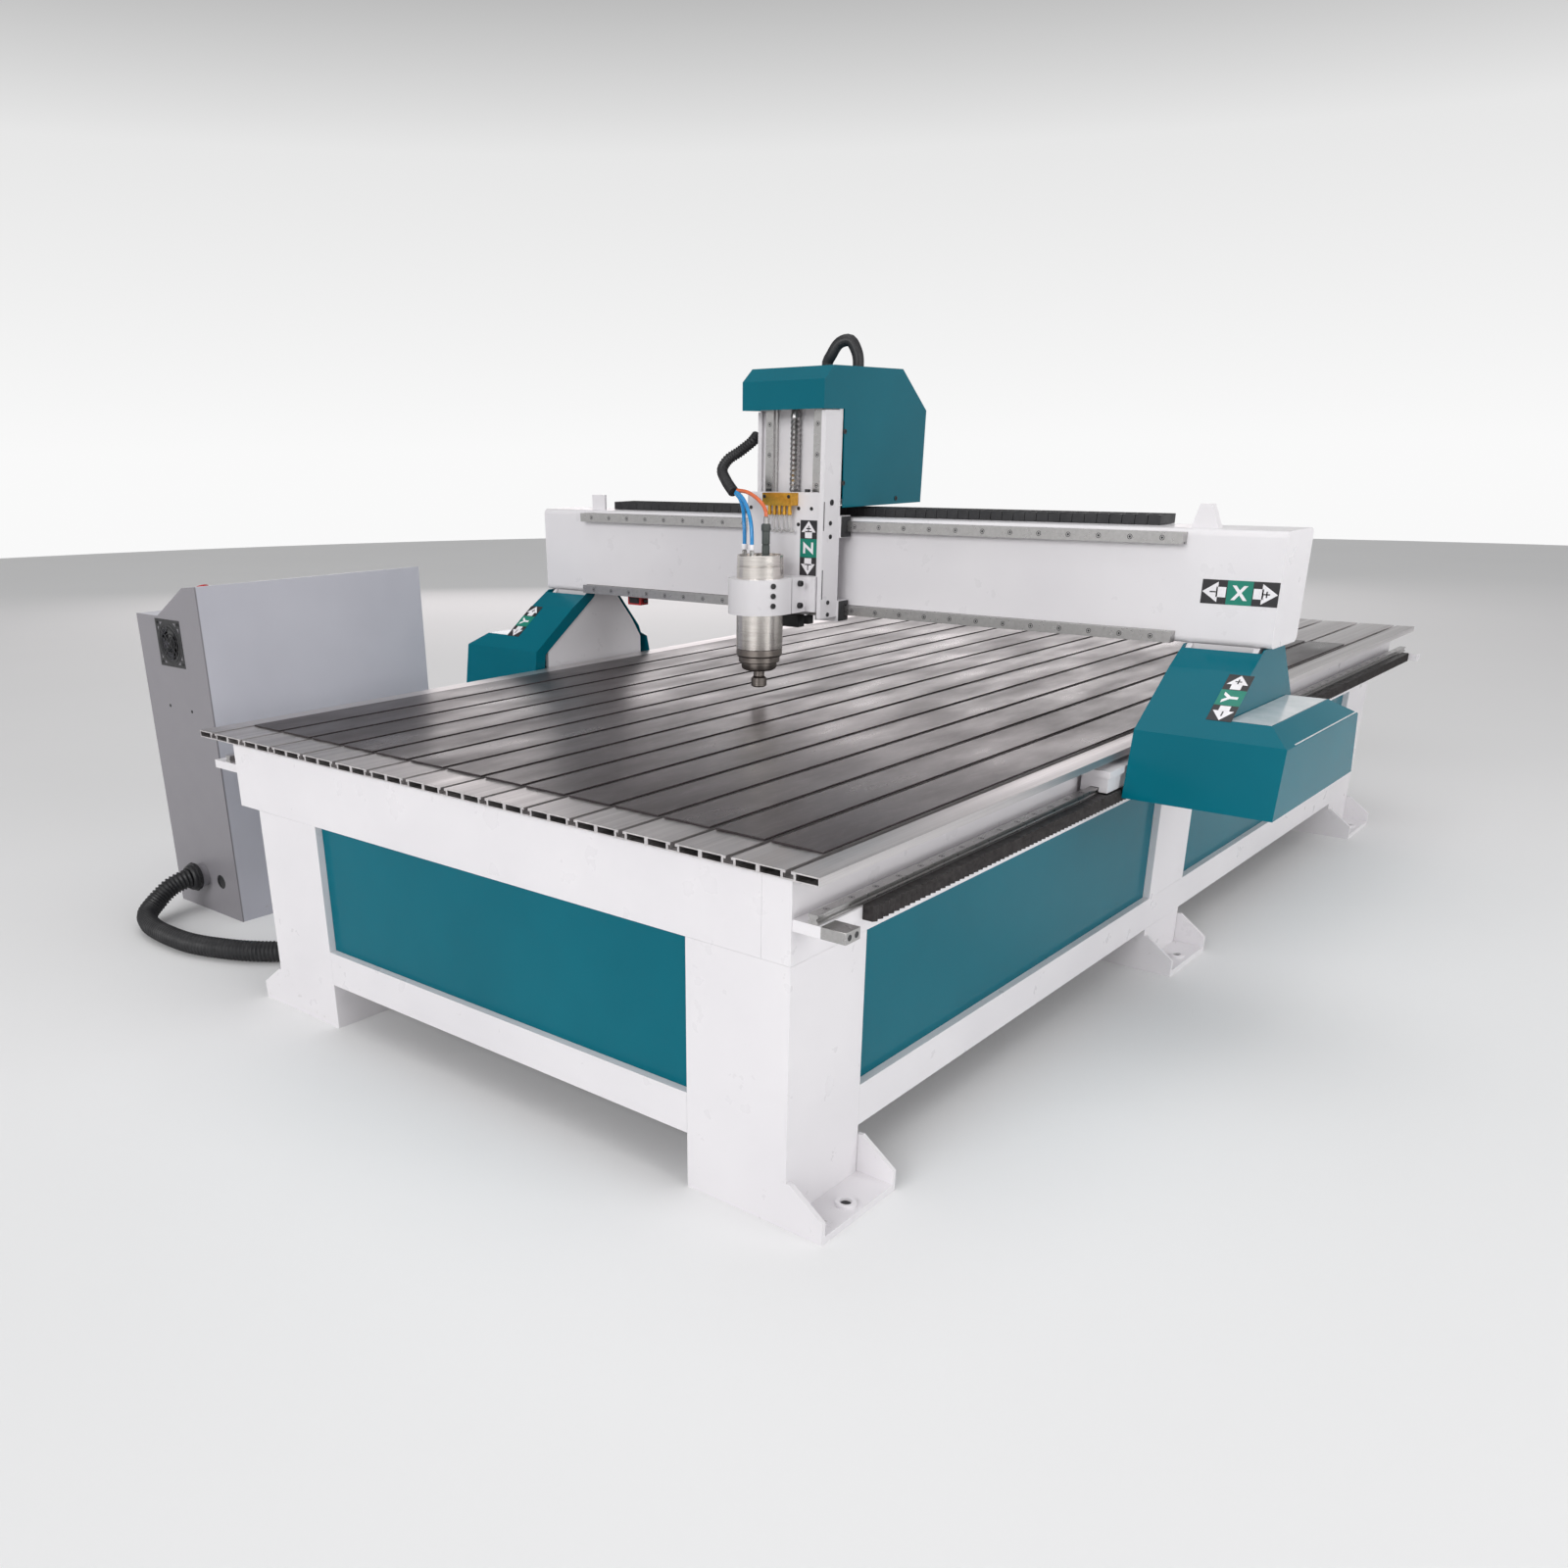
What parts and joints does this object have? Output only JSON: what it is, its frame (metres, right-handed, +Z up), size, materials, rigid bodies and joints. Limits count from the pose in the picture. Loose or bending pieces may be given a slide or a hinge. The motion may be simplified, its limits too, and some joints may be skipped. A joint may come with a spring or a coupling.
{
  "type": "gantry CNC router",
  "caption": "Gantry router for sheet wood: welded bed with slotted deck, travelling gantry, three-axis spindle head and a free-standing control cabinet on a conduit.",
  "frame": {"origin": "on the floor, at the middle of the base rectangle of the machine and its cabinet, measured without the loose conduit", "axes": "+Z up, +Y back along the deck from the loading end, +X along the gantry away from the control cabinet"},
  "size_m": [2.434, 3.025, 1.285],
  "materials": {
    "white_enamel": "satin",
    "teal_enamel": "gloss",
    "grey_enamel": "satin",
    "extruded_aluminium": "mill",
    "ground_steel": "brushed",
    "blackened_steel": "oiled",
    "black_plastic": "matte",
    "deck_plastic": "semi-gloss",
    "brass_fitting": "machined",
    "red_plastic": "gloss",
    "hose_rubber": "matte"
  },
  "bodies": {
    "bed": {"front_beam": "white_enamel", "rear_beam": "white_enamel", "right_side_beam": "white_enamel", "left_side_beam": "white_enamel", "front_right_leg": "white_enamel", "front_left_leg": "white_enamel", "middle_right_leg": "white_enamel", "middle_left_leg": "white_enamel", "rear_right_leg": "white_enamel", "rear_left_leg": "white_enamel", "front_tie_bar": "white_enamel", "rear_tie_bar": "white_enamel", "right_tie_bar": "white_enamel", "left_tie_bar": "white_enamel", "front_panel": "teal_enamel", "rear_panel": "teal_enamel", "right_front_panel": "teal_enamel", "right_rear_panel": "teal_enamel", "left_front_panel": "teal_enamel", "left_rear_panel": "teal_enamel", "t_slot_deck": "extruded_aluminium", "deck_sheet": "deck_plastic", "right_y_rail": "ground_steel", "left_y_rail": "ground_steel", "right_y_rack": "blackened_steel", "left_y_rack": "blackened_steel", "control_cabinet": "grey_enamel", "cable_conduit": "hose_rubber"},
    "gantry": {"gantry_beam": "white_enamel", "lower_x_rail": "ground_steel", "upper_x_rail": "ground_steel", "x_rack": "blackened_steel", "x_cable_chain": "black_plastic", "right_upright": "white_enamel", "left_upright": "white_enamel", "right_upright_cover": "teal_enamel", "left_upright_cover": "teal_enamel", "right_y_motor": "black_plastic", "left_y_motor": "black_plastic"},
    "carriage": {"x_carriage": "white_enamel", "head_cover": "teal_enamel", "z_motor": "black_plastic", "x_motor": "black_plastic", "head_loop_hose": "hose_rubber", "left_z_rail": "ground_steel", "right_z_rail": "ground_steel"},
    "z_slide": {"z_slide_plate": "white_enamel", "spindle_clamp": "white_enamel", "spindle_body": "ground_steel", "oil_manifold": "brass_fitting", "spindle_hose": "hose_rubber"},
    "spindle_rotor": {"spindle_shaft": "ground_steel"},
    "z_screw": {"z_ball_screw": "ground_steel"},
    "right_pinion": {"right_y_pinion": "ground_steel"},
    "left_pinion": {"left_y_pinion": "ground_steel"},
    "x_pinion_gear": {"x_pinion": "ground_steel"},
    "door": {"cabinet_door": "grey_enamel"},
    "latch": {"door_latch": "black_plastic"},
    "stop_button": {"emergency_stop": "red_plastic"},
    "fan": {"fan_rotor": "black_plastic"}
  },
  "joints": [
    {"name": "y_travel", "type": "slide", "parent": "bed", "child": "gantry", "axis": [0, 1, 0], "range_m": [-0.82, 1.44]},
    {"name": "x_travel", "type": "slide", "parent": "gantry", "child": "carriage", "axis": [1, 0, 0], "range_m": [-0.52, 0.7]},
    {"name": "z_travel", "type": "slide", "parent": "carriage", "child": "z_slide", "axis": [0, 0, 1], "range_m": [-0.018, 0.14]},
    {"name": "spindle_spin", "type": "hinge", "parent": "z_slide", "child": "spindle_rotor", "pos_m": [0.109, -0.5605, 0.7], "axis": [0, 0, 1], "continuous": true},
    {"name": "z_screw_spin", "type": "hinge", "parent": "carriage", "child": "z_screw", "pos_m": [0.111, -0.447, 0.9], "axis": [0, 0, 1], "continuous": true},
    {"name": "right_pinion_spin", "type": "hinge", "parent": "gantry", "child": "right_pinion", "pos_m": [0.99271, -0.3625, 0.483], "axis": [0, 0, 1], "continuous": true},
    {"name": "left_pinion_spin", "type": "hinge", "parent": "gantry", "child": "left_pinion", "pos_m": [-0.61471, -0.3625, 0.483], "axis": [0, 0, 1], "continuous": true},
    {"name": "x_pinion_spin", "type": "hinge", "parent": "carriage", "child": "x_pinion_gear", "pos_m": [0.111, -0.20162, 0.89], "axis": [0, 0, 1], "continuous": true},
    {"name": "door_hinge", "type": "hinge", "parent": "bed", "child": "door", "pos_m": [-1.197, -0.6755, 0.37], "axis": [0, 0, 1], "range_deg": [-110, 0]},
    {"name": "latch_turn", "type": "hinge", "parent": "door", "child": "latch", "pos_m": [-1.197, -1.2345, 0.42], "axis": [1, 0, 0], "range_deg": [0, 90]},
    {"name": "stop_press", "type": "slide", "parent": "bed", "child": "stop_button", "axis": [0.4741, 0, -0.8805], "range_m": [0, 0.004], "stiffness_N_per_m": 2500},
    {"name": "fan_spin", "type": "hinge", "parent": "bed", "child": "fan", "pos_m": [-1.058, -1.2745, 0.657], "axis": [0, 1, 0], "continuous": true}
  ],
  "couplings": [
    {"joint": "z_screw_spin", "follows": "z_travel", "rad_per_m": 628.32},
    {"joint": "right_pinion_spin", "follows": "y_travel", "rad_per_m": 24.933},
    {"joint": "left_pinion_spin", "follows": "y_travel", "rad_per_m": -24.933},
    {"joint": "x_pinion_spin", "follows": "x_travel", "rad_per_m": -44.88}
  ]
}
